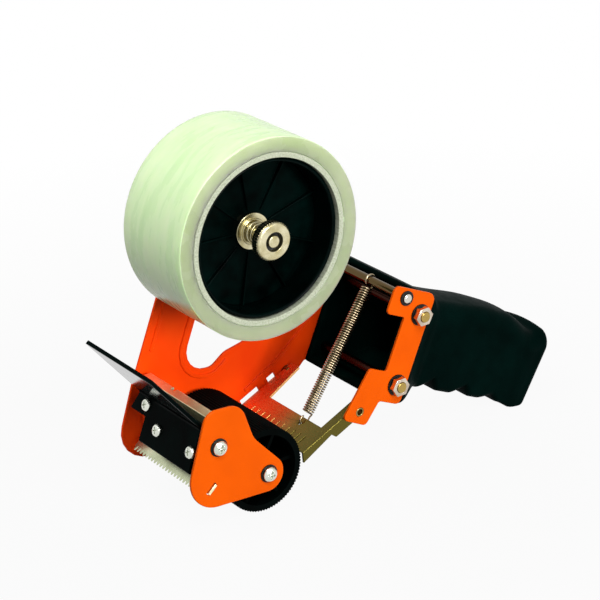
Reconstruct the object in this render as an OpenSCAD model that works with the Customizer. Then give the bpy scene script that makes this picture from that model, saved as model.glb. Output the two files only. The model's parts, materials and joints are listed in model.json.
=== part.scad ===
// Handheld packing tape dispenser: steel side plates, braked tape hub, application roller,
// sprung retaining gate, toothed cutter and a hollow moulded grip.
// X runs from the nose to the grip, Y across the tape, Z up.
// The origin is on the surface it stands on, under the roller's axle, midway across the tape.

/* [Tape] */
// Width of the tape
tape_w = 48; // [36:0.5:54]
// Bore of the cardboard core
core_bore_d = 76.2; // [74:0.1:80]
// Wall of the cardboard core
core_wall = 2.5; // [1.5:0.1:4]
// Thickness of the film wound on the core
film_build = 7.2; // [2:0.1:14]

/* [Side plates] */
// Clear width between the two side plates
frame_gap = 60; // [58:0.5:72]
// Thickness of the side plates
plate_t = 1.5; // [1:0.1:2.5]
// Width of the post that carries the tape
post_w = 25; // [20:0.5:30]
// Spindle ahead of the roller's axle, towards the grip
hub_run = 13.6; // [8:0.1:20]
// Spindle above the roller's axle
hub_rise = 110.3; // [104:0.1:124]
// Height of the pressed stiffening beads
bead_h = 0.8; // [0.4:0.1:1.2]
// Width of the pressed stiffening beads
bead_w = 1.8; // [1:0.1:3]

/* [Roller] */
// Diameter of the roller
roller_d = 41.6; // [38:0.2:44]
// Length of the roller
roller_len = 56; // [50:0.5:57.5]
// Diameter of the roller's axle
axle_d = 6; // [5:0.1:8]
// Thickness of the roller's drum wall
drum_wall = 3.4; // [2:0.1:5]
// Fine grooves around the roller
roller_grooves = 84; // [40:2:110]
// Depth of a groove
groove_depth = 0.6; // [0.3:0.1:1]

/* [Nose] */
// Tie rod ahead of the roller's axle
tie_run = 25.9; // [23:0.1:29]
// Tie rod above the roller's axle
tie_rise = 22.3; // [20:0.1:25]
// Diameter of the tie rod
tie_d = 5; // [4:0.1:6]
// Thickness of the blade carrier's sheet
carrier_t = 1.2; // [0.8:0.1:1.6]
// Width of the blade carrier, the guard and the flap
nose_w = 56; // [50:0.5:57.5]
// Angle of the blade below level
blade_rake = 41; // [35:0.5:48]
// Length of the blade from its root to its tips
blade_len = 9.6; // [8:0.1:11]
// Thickness of the blade
blade_t = 0.8; // [0.5:0.1:1.2]
// Spacing of the blade's teeth
tooth_pitch = 2.5; // [1.6:0.1:3]
// Height of the blade's teeth
tooth_h = 2.6; // [1:0.1:3]
// Length of the wiper flap
flap_len = 39.5; // [30:0.5:44]
// Thickness of the wiper flap
flap_t = 2; // [0.8:0.1:2.2]
// Angle of the wiper flap above level
flap_rise = 51.5; // [45:0.5:58]

/* [Gate] */
// Gate pins behind the roller's axle
pin_run = 53.3; // [50:0.1:56]
// Gate pins above the roller's axle
pin_rise = 13.9; // [12:0.1:16]
// Diameter of the gate's two hollow pins
pin_d = 4.4; // [4:0.1:5]
// Slope of the gate
gate_slope = 24; // [20:0.5:27]
// Thickness of the gate's sheet
gate_t = 1.2; // [0.8:0.1:1.6]
// Width of the gate over its flanges
gate_w = 57.6; // [52:0.2:58.6]
// Width of the opening between the gate's arms
gate_open = 43; // [36:0.5:46]
// Depth of the gate's front bar
gate_bar = 16; // [13:0.2:18]
// Gap between the gate's front edge and the roller
gate_gap = 1.2; // [0.8:0.1:3]
// Depth of the gate's side flanges
flange_h = 5; // [4:0.1:6]

/* [Grip] */
// Lower handle bolt behind the roller's axle
bolt_run = 75.2; // [73:0.1:79]
// Lower handle bolt above the roller's axle
bolt_rise = 21.3; // [19:0.1:24]
// Spacing of the two handle bolts
bolt_pitch = 35.5; // [33:0.1:38]
// Diameter of the handle bolts
bolt_d = 5; // [4:0.1:6]
// Tilt of the grip below level
grip_rake = 25.5; // [22:0.5:28]
// Length of the grip behind the bolts
grip_len = 103; // [92:0.5:120]
// Width of the grip
grip_w = 40; // [34:0.5:46]
// Wall of the hollow grip
grip_wall = 3; // [2.4:0.1:4]
// Diameter of the spring rod
rod_d = 4.6; // [4:0.1:5.4]

/* [Tape brake] */
// Diameter of the spindle under the hub
spindle_d = 8; // [7:0.1:10]
// Diameter of the spindle's thread
thread_d = 5.6; // [4:0.1:6]
// Diameter of the brake washer
brake_washer_d = 17.4; // [14:0.1:20]
// Diameter of the brake nut
brake_nut_d = 18.4; // [15:0.1:22]
// Thickness of the brake nut
brake_nut_t = 6; // [4:0.1:8]
// Length of the brake spring
brake_gap = 9; // [8:0.1:12]

/* [Springs] */
// Outer diameter of the gate spring
gate_spring_d = 5.9; // [4.8:0.1:6.4]
// Wire of the gate spring
gate_wire = 0.8; // [0.6:0.05:0.8]
// Turns of the gate spring
gate_turns = 48; // [30:1:50]
// Outer diameter of the brake spring
brake_spring_d = 11; // [9.5:0.1:12]
// Wire of the brake spring
brake_wire = 1.1; // [0.8:0.1:1.2]
// Turns of the brake spring
brake_turns = 3; // [2:1:4]

/* [Hidden] */
$fn = 64;

// Clearances
run_gap = 0.05;
free_gap = 0.3;
bolt_gap = 0.1;
side_play = 0.2;

// Heights across the plates: y_in is a plate's inner face, y_out its outer face
y_in = max(frame_gap, max(roller_len, gate_w, nose_w) + 2 * side_play) / 2;
y_out = y_in + plate_t;
half_nose = nose_w / 2;

// Main centres in the side view, each as [x, z]
axle = [0, roller_d / 2];
hub_c = axle + [hub_run, hub_rise];
tie = axle + [-tie_run, tie_rise];
pin = axle + [pin_run, pin_rise];
bolt_low = axle + [bolt_run, bolt_rise];

// A point of the grip's own frame: a runs back along the grip, b up across it
grip_at = bolt_low + [-0.9, 1.1];
function on_grip(a, b) =
    grip_at + a * [cos(grip_rake), -sin(grip_rake)] + b * [sin(grip_rake), cos(grip_rake)];
function grip_a(p) = (p - grip_at) * [cos(grip_rake), -sin(grip_rake)];
function grip_b(p) = (p - grip_at) * [sin(grip_rake), cos(grip_rake)];

bolt_up = bolt_low + bolt_pitch * [sin(grip_rake), cos(grip_rake)];
rod_a = -10.3;
rod_b = bolt_pitch + 5.8;
rod = on_grip(rod_a, rod_b);
bolts = [bolt_low, bolt_up];

// Small helpers for paths in a plane
function unit(v) = v / norm(v);
function left_of(d) = [-d.y, d.x];
function angle_of(v) = atan2(v.y, v.x);
function turn(a) = a > 180 ? a - 360 : a < -180 ? a + 360 : a;

// Rounds every corner of an outline; each corner is [x, z, radius]
function corner(p, c, q, r, steps) =
    let (d1 = unit(p - c), d2 = unit(q - c),
         half = acos(d1 * d2) / 2,
         mid = c + unit(d1 + d2) * (r / sin(half)),
         from = angle_of(c + d1 * (r / tan(half)) - mid),
         sweep = turn(angle_of(c + d2 * (r / tan(half)) - mid) - from))
    [for (i = [0:steps]) mid + r * [cos(from + sweep * i / steps), sin(from + sweep * i / steps)]];
function flat2(v) = [v.x, v.y];
function at(pts, i) = flat2(pts[(i + len(pts)) % len(pts)]);
// How far a corner's rounding reaches along its edges, and the share of it that fits there
function reach(pts, i) =
    let (k = (i + len(pts)) % len(pts), r = pts[k][2])
    r == 0 ? 0 : r / tan(acos(unit(at(pts, k - 1) - at(pts, k)) * unit(at(pts, k + 1) - at(pts, k))) / 2);
function share(pts, i) =
    let (own = reach(pts, i),
         back = norm(at(pts, i - 1) - at(pts, i)),
         ahead = norm(at(pts, i + 1) - at(pts, i)))
    0.98 * min(1.02, back / max(0.01, own + reach(pts, i - 1)), ahead / max(0.01, own + reach(pts, i + 1)));
function rounded(pts, steps = 6) =
    [for (i = [0:len(pts) - 1])
        let (r = pts[i][2])
        each r == 0 ? [at(pts, i)]
            : corner(at(pts, i - 1), at(pts, i), at(pts, i + 1), r * share(pts, i), steps)];

// A bent strip: the path and the same path moved to its left by t
function path_dir(p, i) = unit(p[min(i + 1, len(p) - 1)] - p[max(i - 1, 0)]);
function mitre(p, i, t) =
    i == 0 || i == len(p) - 1
        ? p[i] + t * left_of(path_dir(p, i))
        : let (d1 = unit(p[i] - p[i - 1]), d2 = unit(p[i + 1] - p[i]),
               n = unit(left_of(d1) + left_of(d2)))
          p[i] + n * (t / (n * left_of(d1)));
function strip(p, t0, t1) =
    concat([for (i = [0:len(p) - 1]) mitre(p, i, t0)],
           [for (i = [len(p) - 1:-1:0]) mitre(p, i, t1)]);

// A side-view outline made solid from y0 to y1
module slab(pts, y0, y1) {
    translate([0, y1, 0]) rotate([90, 0, 0]) linear_extrude(y1 - y0) polygon(pts);
}
// A round bar across the tool at [x, z]
module bar(c, d, y0, y1) {
    translate([c.x, y1, c.y]) rotate([90, 0, 0]) cylinder(d = d, h = y1 - y0);
}
// A hexagon across the tool at [x, z]
module hex_bar(c, flats, y0, y1) {
    translate([c.x, y1, c.y]) rotate([90, 0, 0])
        cylinder(d = flats / cos(30), h = y1 - y0, $fn = 6);
}
// A turned ring across the tool: the profile is a list of [radius, y]
module turned(c, profile) {
    translate([c.x, 0, c.y]) rotate([90, 0, 0]) mirror([0, 0, 1]) rotate_extrude() polygon(profile);
}

// Outline of the nose; its chin is shared by both side plates
nose_toe = concat(axle + [7.8, -6.1], [4]);
nose_chin = concat(axle + [-47.3, -6.2], [14.6]);
nose_outline = [
    concat(axle + [8.3, -9.9], [8.5]),
    concat(axle + [8.3, 3], [8]),
    concat(axle + [-6.7, 20.4], [14]),
    concat(tie + [13.6, 17.3], [9]),
    concat(tie + [-5.1, 18.9], [7]),
    nose_chin
];

// Outline of the handle bracket in the grip's frame
strap_in = -7.4;
strap_out = 7.3;
head_top = rod_b + 4.7;
head_low = rod_b - 9.3;
head_in = rod_a - 8.4;
// The main plate's head stays lower, hidden by the grip
head_drop = 0.8;
foot_top = 4.8;
foot_low = -10;
pin_a = grip_a(pin);
pin_b = grip_b(pin);
function grip_pt(a, b, r) = concat(on_grip(a, b), [r]);
function head_outline(top) = [
    grip_pt(head_in, head_low, 2),
    grip_pt(head_in, top, 3),
    grip_pt(strap_out, top, 4),
    grip_pt(strap_out, foot_low, 3),
    grip_pt(pin_a + 9.5, foot_low, 1.5)
];
bracket_outline = concat(head_outline(head_top), [
    grip_pt(pin_a + 6.1, pin_b - 6.1, 2.5),
    grip_pt(pin_a - 8.7, pin_b - 5.3, 2.5),
    grip_pt(pin_a - 2.5, foot_top, 2),
    grip_pt(strap_in, foot_top, 1),
    grip_pt(strap_in, head_low, 1)
]);

// The post runs from beside the tie rod to the spindle
post_foot = tie + [1.6, 0];
post_dir = unit(hub_c - post_foot);
post_side = left_of(post_dir) * (post_w / 2);
post_end = post_dir * (post_w / 2);
vee_root = post_foot - post_side + post_dir * 12.5;
vee_corners = [
    concat(vee_root, [10.5]),
    concat(vee_root + [19, 0.2], [6]),
    concat(vee_root + [26.5, 5.4], [9]),
    concat(vee_root + [38, 7.6], [15])
];
frame_outline = concat(
    [
        concat(post_foot + post_side + post_dir * 6, [40]),
        concat(hub_c + post_side + post_end, [post_w / 2 - 0.1]),
        concat(hub_c - post_side + post_end, [post_w / 2 - 0.1])
    ],
    vee_corners,
    head_outline(head_top - head_drop),
    [
        concat(pin + [5, -4], [3]),
        concat(pin + [-1, -6.2], [4]),
        concat(axle + [26, -4.2], [12]),
        nose_toe,
        nose_chin
    ]);

// Blade carrier: the sheet's front and upper side in the side view
web_x = tie.x - tie_d / 2 - carrier_t;
blade_dir = [-cos(blade_rake), -sin(blade_rake)];
bend = [web_x, tie.y - 14.3];
flange_top = tie.y + 15.3;
flange_reach = 5.5;
lip_len = 7.4;
carrier_path = [
    [web_x + flange_reach, flange_top],
    [web_x, flange_top],
    bend,
    bend + blade_dir * lip_len
];
// Ears under the lip's ends, each with a tab in a slot of the side plate
ear_from = 1.8;
ear_drop = 4;
tab_t = 1.4;
tab_out = 0.6;
slot_gap = 0.35;
tab_path = [bend + blade_dir * ear_from, bend + blade_dir * lip_len];
slot_path = [bend + blade_dir * (ear_from - slot_gap), bend + blade_dir * (lip_len + slot_gap)];

// Guard: a wedge with a sloping face in front of the carrier
guard_top = [web_x - 2.8, tie.y + 10.3];
guard_toe = [web_x - 11.4, tie.y - 9.8];
guard_dir = unit(guard_toe - guard_top);
guard_out = [guard_dir.y, -guard_dir.x];
guard_step = 9.8;
guard_side = 15;
// The far end of the guard tapers towards its top edge
guard_taper = 4;
guard_screw_in = [4.5, 12.3];
guard_screw_y = [[half_nose - 12.2], [2.6, 2.2 - half_nose]];
screw_d = 2.8;
screw_head_d = 6;
screw_head_h = 2;

// Wiper flap
flap_dir = [-cos(flap_rise), sin(flap_rise)];
flap_side = left_of(flap_dir);
flap_swing = 8;
// Thinner neck and round bead along the flap's root, and the open knuckle of the guard that holds it
neck_t = flap_t * 0.75;
bead_d = neck_t + 0.6;
knuckle_d = bead_d + 1.4;
flap_root = [web_x - knuckle_d / 2 - 0.1, guard_top.y - 0.1];
mouth_w = neck_t / 2 + free_gap;
neck_len = knuckle_d / 2 + 0.4;
neck_run = 0.8;

// Gate: its own frame runs from the pin towards the roller along the sheet
gate_fall = [-cos(gate_slope), -sin(gate_slope)];
gate_up = [-gate_fall.y, gate_fall.x] * -1;
gate_lift = 2.1;
function on_gate(u, v) = pin + gate_fall * u + gate_up * v;
roller_reach = roller_d / 2 + gate_gap;
axle_u = (axle - pin) * gate_fall;
axle_v = (axle - pin) * gate_up;
// Furthest reach along the gate that still clears the roller, at a height v
function clear_of_roller(v) = axle_u - sqrt(roller_reach * roller_reach - pow(v - axle_v, 2));
gate_front = clear_of_roller(gate_lift - gate_t);
open_shift = -2;
gate_back = gate_front - gate_bar;
gate_half = gate_w / 2;
open_y = [open_shift - gate_open / 2, open_shift + gate_open / 2];
lug_r = pin_d / 2 + 1.6;
// How much narrower the far arm gets towards its pin
arm_taper = 2.8;
pin_in = 2.2;
pin_bore = 3;
comb_pitch = 4.2;
comb_len = 8;
comb_w = 0.6;
spring_hole_d = 2;
spring_y = -10.5;
hook_in = 1.3;

// Tape, core and hub
tape_half = tape_w / 2;
core_r = core_bore_d / 2;
core_out = core_r + core_wall;
film_r = core_out + film_build;
hub_r = core_r - free_gap;
hub_wall = 2.2;
hub_in = hub_r - hub_wall;
hub_shoulder = 1.2;
hub_front = tape_half - 1.5;
hub_back = tape_half + free_gap + 1.8;
hub_web_y = -8;
hub_web_t = 3;
hub_boss_r = spindle_d / 2 + 4.5;
hub_ribs = 9;
hub_rib_t = 0.9;
hub_rib_turn = 17;
// How far a rib stands off the web at its inner and at its outer end
hub_rib_in = 1.2;
hub_rib_out = 2.4;

// Spindle and brake, placed along Y from the hub's web to the front
thrust_t = 1.6;
spindle_nut_y = y_in - 5;
washer_t = 3;
brake_washer_y = hub_web_y - washer_t - 0.1;
spring_y0 = brake_washer_y - 0.1;
spring_y1 = spring_y0 - brake_gap;
seat_t = 1;
seat_y = spring_y1 - 0.1 - seat_t;
nut_y = seat_y - 0.1 - brake_nut_t;
spindle_tip = nut_y + 0.2;

// Grip outline: top and underside heights at stations along the grip
grip_front = -6;
grip_floor = -10;
grip_top = head_top + 0.2;
heel_sink = 2.8;
heel_a = grip_len - 6;
// The grip's end leans back: its top reaches further than its heel
lean_from = 62;
end_lean = 0.08;
lean_mid = 18;
function lean(a) = end_lean * ease(a, lean_from, grip_len);
// Height in the grip's frame at which the heel goes just under the standing surface
heel_b = ((heel_a - lean(heel_a) * lean_mid) * sin(grip_rake) - grip_at.y - heel_sink)
    / (cos(grip_rake) - lean(heel_a) * sin(grip_rake));
finger_dip = 5.2;
finger_pitch = 22.2;
finger_first = 35.5;

// Side plates

side_screw_d = 3;
module plate_holes(y0, y1) {
    bar(axle, side_screw_d + 2 * bolt_gap, y0, y1);
    bar(tie, side_screw_d + 2 * bolt_gap, y0, y1);
    slab(strip(slot_path, ear_drop - tab_t - slot_gap, ear_drop + slot_gap), y0, y1);
}
module clamp_holes(y0, y1) {
    for (b = bolts)
        bar(b, bolt_d + 2 * bolt_gap, y0, y1);
    bar(rod, rod_d + 2 * run_gap, y0, y1);
    bar(pin, pin_d + 2 * run_gap, y0, y1);
}
// See-through slots beside the gate's far edge, as [start, end] along the gate
gate_slots = [[6.4, 11], [17.3, 28.6]];
slot_v = [gate_lift - 1.6, gate_lift + 1.7];
module bead(path) {
    slab(strip(path, -bead_w / 2, bead_w / 2), y_in - bead_h, y_in + 0.1);
}
vee_edge = rounded([
    concat(hub_c - post_side - post_dir * 20, [0]),
    vee_corners[0],
    vee_corners[1],
    concat(vee_root + [25, 4.4], [0])
]);
bead_off = 3.6;
vee_bead = [for (i = [0:len(vee_edge) - 1]) mitre(vee_edge, i, -bead_off)];

module main_frame() {
    color("orangered") difference() {
        union() {
            slab(rounded(frame_outline), y_in, y_out);
            bead(vee_bead);
            bead([post_foot + post_side * 0.62 + post_dir * 24, hub_c + post_side * 0.62 - post_dir * 20]);
            bead([on_gate(24, 7), on_gate(2, 8.5), on_grip(-9.5, 14)]);
        }
        plate_holes(y_in - 2, y_out + 2);
        clamp_holes(y_in - 2, y_out + 2);
        bar(hub_c, spindle_d + 2 * bolt_gap, y_in - 2, y_out + 2);
        for (s = gate_slots)
            gate_slab(s[0], s[1], slot_v[0], slot_v[1], y_in - 2, y_out + 2);
    }
}
module nose_plate() {
    color("darkorange") difference() {
        slab(rounded(nose_outline, 12), -y_out, -y_in);
        plate_holes(-y_out - 2, -y_in + 2);
    }
}
module handle_bracket() {
    color("darkorange") difference() {
        slab(rounded(bracket_outline), -y_out, -y_in);
        clamp_holes(-y_out - 2, -y_in + 2);
    }
}

// Grip: rounded sections lofted along its length

// Eases from 0 to 1 between two stations
function ease(a, a0, a1) = let (t = min(1, max(0, (a - a0) / (a1 - a0)))) t * t * (3 - 2 * t);
function blend(a, a0, a1, v0, v1) = v0 + (v1 - v0) * ease(a, a0, a1);
// A finger notch rises slowly to a narrow crest and drops steeply behind it
function finger(a, k) =
    let (past = a - finger_first - k * finger_pitch, d = past < 0 ? -past / 9 : past / 4.5)
    finger_dip * pow(max(0, 1 - d), 1.3);
function fingers(a) = finger(a, 0) + finger(a, 1) + 0.6 * finger(a, 1.9);
function grip_low(a) =
    blend(a, strap_out, 24, grip_floor, -3.4) + blend(a, grip_len - 21, heel_a, 0, heel_b + 3.4);
function grip_high(a) =
    blend(a, grip_front, 30, grip_top, grip_top - 5) + 1.4 * exp(-pow((a - 60) / 18, 2))
    - 5.6 * ease(a, grip_len - 29, grip_len - 8) + 3 * ease(a, grip_len - 10, grip_len - 4.5);
function grip_half(a) =
    blend(a, strap_out, 26, y_in, grip_w / 2) + 1.6 * ease(a, grip_len - 14, grip_len - 5);
function grip_round(a) = blend(a, strap_out, 26, 1.2, 8);
function low_round(a) = blend(a, strap_out, 26, 1.2, 3.6) - 1.8 * ease(a, grip_len - 29, grip_len - 13);
function crown(a) = blend(a, 0, 26, 0, 2.5);

// A rounded rectangle with a crowned top as points [y, b]: inset shrinks it.
// The cavity's floor stays smooth and clears the notches.
corner_steps = 5;
function quarter(cy, cb, r, from) =
    [for (i = [0:corner_steps])
        let (ang = from + 90 * i / corner_steps) [cy + r * cos(ang), cb + r * sin(ang)]];
function section(a, inset) =
    let (w = grip_half(a) - inset,
         lo = grip_low(a) + inset + (inset < grip_wall ? fingers(a) : blend(a, 12, 22, 0, finger_dip)),
         hi = grip_high(a) - inset,
         rt = max(0.8, grip_round(a) - inset), rl = max(0.8, low_round(a) - inset),
         top = concat(quarter(w - rt, hi - rt, rt, 0),
             [for (k = [1, 0, -1]) [k * (w - rt) / 2, hi]],
             quarter(rt - w, hi - rt, rt, 90)))
    concat([for (p = top) [p.x, p.y - crown(a) * pow(p.x / w, 2)]],
        quarter(rl - w, lo + rl, rl, 180), quarter(w - rl, lo + rl, rl, 270));
// The end swells shut: sections shrink on a quarter circle of radius end_r
end_r = 6;
function end_inset(a, last) = let (d = max(0, a - (last - end_r))) end_r - sqrt(end_r * end_r - d * d);
// Stations follow the fingers closely and the end closer still
function stations(first, last, count) = concat(
    [for (i = [0:count - 1]) first + (last - end_r - first) * i / count],
    [for (i = [0:5]) last - end_r + end_r * sin(17 * i)]);
function ring_points(a, inset) =
    [for (p = section(a, inset)) let (g = on_grip(a + lean(a) * (p.y - lean_mid), p.y)) [g.x, p.x, g.y]];
module loft(first, last, inset, count) {
    places = stations(first, last, count);
    n = len(section(0, inset));
    points = [for (a = places) each ring_points(a, inset + end_inset(a, last))];
    sides = [for (i = [0:len(places) - 2]) for (k = [0:n - 1])
        let (a = i * n + k, b = i * n + (k + 1) % n)
        each [[a, a + n, b], [b, a + n, b + n]]];
    caps = [[for (k = [0:n - 1]) k], [for (k = [n - 1:-1:0]) (len(places) - 1) * n + k]];
    polyhedron(points, concat(sides, caps));
}
module handle() {
    color([0.05, 0.06, 0.06]) difference() {
        loft(grip_front, grip_len, 0, 62);
        loft(grip_front - 2, grip_len - 24, grip_wall, 20);
        for (b = bolts)
            bar(b, bolt_d + 2 * bolt_gap, -y_out, y_out);
        translate([-500, -100, -50]) cube([1000, 200, 50]);
    }
}
bolt_head_t = 3.5;
nut_t = 3.3;
nut_washer_t = 0.8;
nut_washer_d = bolt_d * 2.1;
nut_face = -y_out - nut_washer_t - nut_t;
module handle_bolts() {
    color("silver") for (b = bolts) {
        bar(b, bolt_d, nut_face - 0.6, y_out + 0.1);
        hex_bar(b, bolt_d * 1.6, y_out, y_out + bolt_head_t);
    }
}
module handle_nuts() {
    color("gainsboro") for (b = bolts)
        difference() {
            hex_bar(b, bolt_d * 1.7, nut_face, -y_out - nut_washer_t);
            bar(b, bolt_d + 2 * run_gap, nut_face - 1, -y_out + 1);
        }
}
module nut_washers() {
    color([0.1, 0.1, 0.1]) for (b = bolts)
        difference() {
            bar(b, nut_washer_d, -y_out - nut_washer_t, -y_out);
            bar(b, bolt_d + 2 * bolt_gap, -y_out - 2, 1 - y_out);
        }
}
// The rod stands out of both plates, with a dark clip round each end
rod_out = 1.8;
rod_tip = 0.5;
clip_t = 0.8;
clip_d = rod_d + 2.7;
module spring_rod() {
    end = y_out + rod_out;
    color("darkkhaki") turned(rod, [[0, -end], [rod_d / 2 - rod_tip, -end], [rod_d / 2, rod_tip - end],
        [rod_d / 2, end - rod_tip], [rod_d / 2 - rod_tip, end], [0, end]]);
}
module rod_clips() {
    color([0.1, 0.1, 0.1]) difference() {
        union() {
            bar(rod, clip_d, -y_out - clip_t, -y_out);
            bar(rod, clip_d, y_out, y_out + clip_t);
        }
        bar(rod, rod_d + 2 * run_gap, -y_out - 2, y_out + 2);
    }
}
module gate_pins() {
    color("darkkhaki") difference() {
        union() {
            bar(pin, pin_d, -y_out, pin_in - gate_half);
            bar(pin, pin_d, gate_half - pin_in, y_out);
        }
        bar(pin, pin_bore, -y_out - 1, y_out + 1);
    }
}

// Gate: sheet with a front bar, two arms and two flanges turned down

gate_top = gate_lift;
gate_under = gate_lift - gate_t;
module gate_slab(u0, u1, v0, v1, y0, y1) {
    slab([on_gate(u0, v0), on_gate(u0, v1), on_gate(u1, v1), on_gate(u1, v0)], y0, y1);
}
flange_step = gate_back - 1;
flange_rear = flange_h * 0.65;
lobe_h = flange_h + 1.2;
module gate_flange(y0, y1) {
    slab([on_gate(flange_step, gate_top), on_gate(gate_front, gate_top),
          on_gate(clear_of_roller(gate_top - flange_h), gate_top - flange_h),
          on_gate(flange_step, gate_top - flange_rear)], y0, y1);
    slab(rounded([
        concat(on_gate(flange_step + 0.1, gate_top), [0]),
        concat(on_gate(-lug_r, gate_top), [1.5]),
        concat(on_gate(-lug_r, -lug_r), [lug_r - 0.1]),
        concat(on_gate(lug_r, gate_top - lobe_h), [0.5]),
        concat(on_gate(flange_step - 1.5, gate_top - lobe_h), [1]),
        concat(on_gate(flange_step + 0.1, gate_top - flange_rear), [0])
    ]), y0, y1);
}
comb_count = floor((gate_w - 8) / comb_pitch / 2);
hook_at = on_gate(gate_back + hook_in, gate_lift - gate_t / 2);
hole_at = on_gate(gate_back + hook_in + 2.4, gate_lift);
module gate_plate() {
    color("goldenrod") difference() {
        union() {
            gate_slab(-lug_r, gate_front, gate_under, gate_top, -gate_half, gate_half);
            gate_flange(gate_half - gate_t, gate_half);
            gate_flange(-gate_half, -gate_half + gate_t);
        }
        translate([pin.x, 0, pin.y]) rotate([0, 180 - gate_slope, 0]) translate([0, 0, -gate_lift - 3])
            linear_extrude(6) polygon([[-lug_r - 1, open_y[0]], [gate_back, open_y[0]],
                [gate_back, open_y[1]], [-lug_r - 1, open_y[1] + arm_taper]]);
        bar(pin, pin_d + 2 * run_gap, gate_half - pin_in - free_gap, gate_half + 1);
        bar(pin, pin_d + 2 * run_gap, -gate_half - 1, pin_in + free_gap - gate_half);
        for (k = [-comb_count:comb_count])
            gate_slab(gate_front - comb_len, gate_front + 1, gate_under - 1, gate_top + 1,
                      k * comb_pitch - comb_w / 2, k * comb_pitch + comb_w / 2);
        translate([hole_at.x, spring_y, hole_at.y]) rotate([0, -gate_slope, 0])
            cylinder(d = spring_hole_d, h = 4, center = true);
    }
}

// Springs: one tube swept along a path, its least gap to itself measured and printed

tube_sides = 6;
curl_rings = 8;
function tangent(p, i) = unit(p[min(i + 1, len(p) - 1)] - p[max(i - 1, 0)]);
function carried(n, t) = unit(n - t * (n * t));
function frames(p, first) = [for (i = 0, n = carried(first, tangent(p, 0)); i < len(p);
    i = i + 1, n = carried(n, tangent(p, min(i, len(p) - 1)))) n];
function self_gap(p, wire, skip) =
    min([for (i = [0:len(p) - 1 - skip]) for (j = [i + skip:len(p) - 1]) norm(p[i] - p[j])]) - wire;
module tube(p, wire, first) {
    side = frames(p, first);
    n = tube_sides;
    points = [for (i = [0:len(p) - 1])
        let (t = tangent(p, i), u = side[i], v = cross(t, u))
        each [for (k = [0:n - 1]) p[i] + wire / 2 * (cos(360 * k / n) * u + sin(360 * k / n) * v)]];
    sides = [for (i = [0:len(p) - 2]) for (k = [0:n - 1])
        let (a = i * n + k, b = i * n + (k + 1) % n)
        each [[a, b, a + n], [b, b + n, a + n]]];
    caps = [for (k = [1:n - 2]) each [[0, k + 1, k],
        [(len(p) - 1) * n, (len(p) - 1) * n + k, (len(p) - 1) * n + k + 1]]];
    polyhedron(points, concat(sides, caps));
}
function bezier(a, b, c, d, t) =
    pow(1 - t, 3) * a + 3 * t * pow(1 - t, 2) * b + 3 * t * t * (1 - t) * c + pow(t, 3) * d;

// Gate spring: a hook loop, the coil and a second hook loop, all in one plane with the axis
low_end = [hook_at.x, spring_y, hook_at.y];
high_end = [rod.x, -3.5, rod.y];
pull = unit(high_end - low_end);
pull_side = unit(cross([0, 1, 0], pull));
pull_turn = cross(pull, pull_side);
pull_len = norm(high_end - low_end);
coil_r = (gate_spring_d - gate_wire) / 2;
hook_r = 2.4;
eye_r = rod_d / 2 + gate_wire / 2 + 0.25;
coil_from = hook_r + 2;
coil_to = pull_len - rod_d / 2 - gate_wire / 2 - 1.2;
function spring_pt(s, u, v) = low_end + pull * s + pull_side * u + pull_turn * v;
function hook_loop(r, at, way) =
    [for (i = [0:9]) let (a = 235 - 235 * i / 9) spring_pt(at - way * r * sin(a), r * cos(a), 0)];
function coil_start(i) =
    let (e = coil_from - 2.2)
    bezier(spring_pt(e, hook_r, 0), spring_pt(e + 1.4, hook_r, 0),
           spring_pt(coil_from, coil_r, -1.4), spring_pt(coil_from, coil_r, 0), i / 4);
function coil_end(i) =
    let (e = coil_to + 2.2)
    bezier(spring_pt(coil_to, coil_r, 0), spring_pt(coil_to, coil_r, 1.4),
           spring_pt(e - 1.4, eye_r, 0), spring_pt(e, eye_r, 0), i / 4);
gate_coil = [for (i = [0:gate_turns * curl_rings])
    let (t = i / (gate_turns * curl_rings), a = 360 * gate_turns * t)
    spring_pt(coil_from + (coil_to - coil_from) * t, coil_r * cos(a), coil_r * sin(a))];
hook_tail = hook_loop(hook_r, 0, 1);
eye_tail = hook_loop(eye_r, pull_len, -1);
gate_spring_path = concat(
    [hook_tail[0] + gate_wire * unit(hook_tail[0] - hook_tail[1])],
    hook_tail,
    [for (i = [0:3]) coil_start(i)],
    gate_coil,
    [for (i = [1:4]) coil_end(i)],
    [for (i = [9:-1:0]) eye_tail[i]],
    [eye_tail[0] + gate_wire * unit(eye_tail[0] - eye_tail[1])]);
module gate_spring() {
    echo(gate_spring_least_gap = self_gap(gate_spring_path, gate_wire, 6));
    color("tan") tube(gate_spring_path, gate_wire, pull_turn);
}

// Brake spring: an open coil on the spindle, seated between two washers
brake_r = (brake_spring_d - brake_wire) / 2;
brake_low = spring_y0 - brake_wire / 2 - 0.1;
brake_high = spring_y1 + brake_wire / 2 + 0.1;
function brake_pt(a, y) = [hub_c.x + brake_r * cos(a), y, hub_c.y + brake_r * sin(a)];
brake_coil = [for (i = [0:brake_turns * curl_rings])
    let (t = i / (brake_turns * curl_rings))
    brake_pt(360 * brake_turns * t, brake_low + (brake_high - brake_low) * t)];
brake_last = len(brake_coil) - 1;
brake_path = concat(
    [brake_coil[0] + [0, 0, -brake_wire]],
    brake_coil,
    [brake_coil[brake_last] + [0, 0, brake_wire]]);
module brake_spring() {
    echo(brake_spring_least_gap = self_gap(brake_path, brake_wire, 5));
    color("silver") tube(brake_path, brake_wire, [1, 0, 0]);
}

// Roller and its axle

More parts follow.
